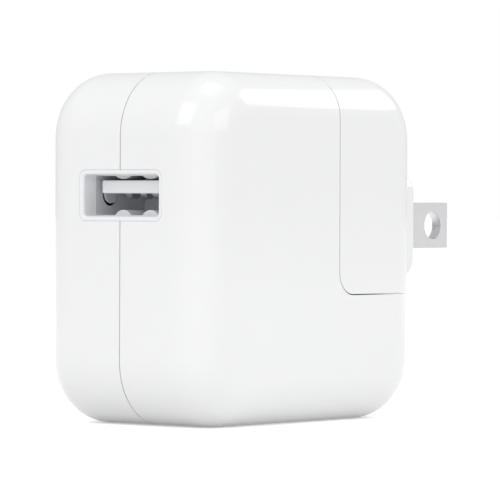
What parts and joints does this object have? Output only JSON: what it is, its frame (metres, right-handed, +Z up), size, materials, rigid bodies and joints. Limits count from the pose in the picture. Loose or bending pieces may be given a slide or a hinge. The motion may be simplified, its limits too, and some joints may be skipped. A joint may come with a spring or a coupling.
{
  "type": "usb wall charger",
  "caption": "Rounded square mains charger with a USB socket in one end face, a plug head that slides off its corner and flat blades that fold up into the head.",
  "frame": {"origin": "centre of the case's flat base face", "axes": "+X the way the open blades point, -X the end face with the USB socket, Y across the thickness, +Z up"},
  "size_m": [0.0629, 0.0286, 0.046],
  "materials": {
    "white_gloss": "glossy white polycarbonate",
    "white_satin": "fine satin white plastic",
    "nickel": "satin nickel plate",
    "tin": "tinned metal",
    "brass": "brass with fine wear",
    "spring_steel": "bright spring steel",
    "gold": "gold-flashed contact",
    "board": "green solder mask on glass fibre",
    "film": "amber polyimide film",
    "pad": "blue grey gap pad",
    "ferrite": "fired ferrite",
    "bobbin": "black phenolic moulding",
    "tape": "yellow polyester tape over copper wire",
    "copper": "enamelled copper wire",
    "can": "bare aluminium can top",
    "sleeve_dark": "shrunk dark sleeve",
    "sleeve_green": "shrunk green sleeve",
    "heat_sink": "bare aluminium sheet",
    "chip_black": "black epoxy moulding",
    "ceramic_blue": "blue dipped ceramic",
    "ceramic_green": "green dipped ceramic",
    "ceramic_tan": "fired tan ceramic",
    "fuse_body": "white ceramic fuse tube"
  },
  "bodies": {
    "body": {"case_left": "white_gloss", "case_right": "white_gloss", "usb_bezel": "white_satin", "usb_shell": "nickel", "usb_tongue": "white_satin", "usb_contacts": "gold", "inlet_housing": "white_satin", "inlet_pins": "nickel", "inlet_leads": "tin", "locking_stud": "nickel", "stud_retainer": "spring_steel", "earth_strap": "tin", "main_board": "board", "insulating_film": "film", "thermal_pad": "pad", "transformer_core": "ferrite", "transformer_bobbin": "bobbin", "transformer_pins": "tin", "transformer_winding": "tape", "bulk_capacitor_cans": "can", "bulk_capacitor_sleeves": "sleeve_dark", "output_capacitor_cans": "can", "output_capacitor_sleeves": "sleeve_green", "choke_core": "ferrite", "choke_windings": "copper", "fuse": "fuse_body", "thermistor": "ceramic_green", "safety_capacitor": "ceramic_blue", "switch_heat_sink": "heat_sink", "power_switch": "chip_black", "rectifier_heat_sink": "heat_sink", "output_rectifier": "chip_black", "controller_chip": "chip_black", "bridge_rectifier": "chip_black", "optocoupler": "chip_black", "chip_resistors": "chip_black", "chip_capacitors": "ceramic_tan"},
    "plug_head": {"plug_head_cover": "white_gloss", "plug_head_base": "white_satin", "socket_sleeves": "brass", "contact_straps": "brass", "detent_spring": "spring_steel"},
    "blades": {"blade_left": "nickel", "blade_right": "nickel", "blade_rotor": "white_satin"}
  },
  "joints": [
    {"name": "plug_head_slide", "type": "slide", "parent": "body", "child": "plug_head", "axis": [0, 0, 1], "range_m": [0, 0.04]},
    {"name": "blade_fold", "type": "hinge", "parent": "plug_head", "child": "blades", "pos_m": [0.02, 0, 0.026], "axis": [0, -1, 0], "range_deg": [0, 90]}
  ]
}
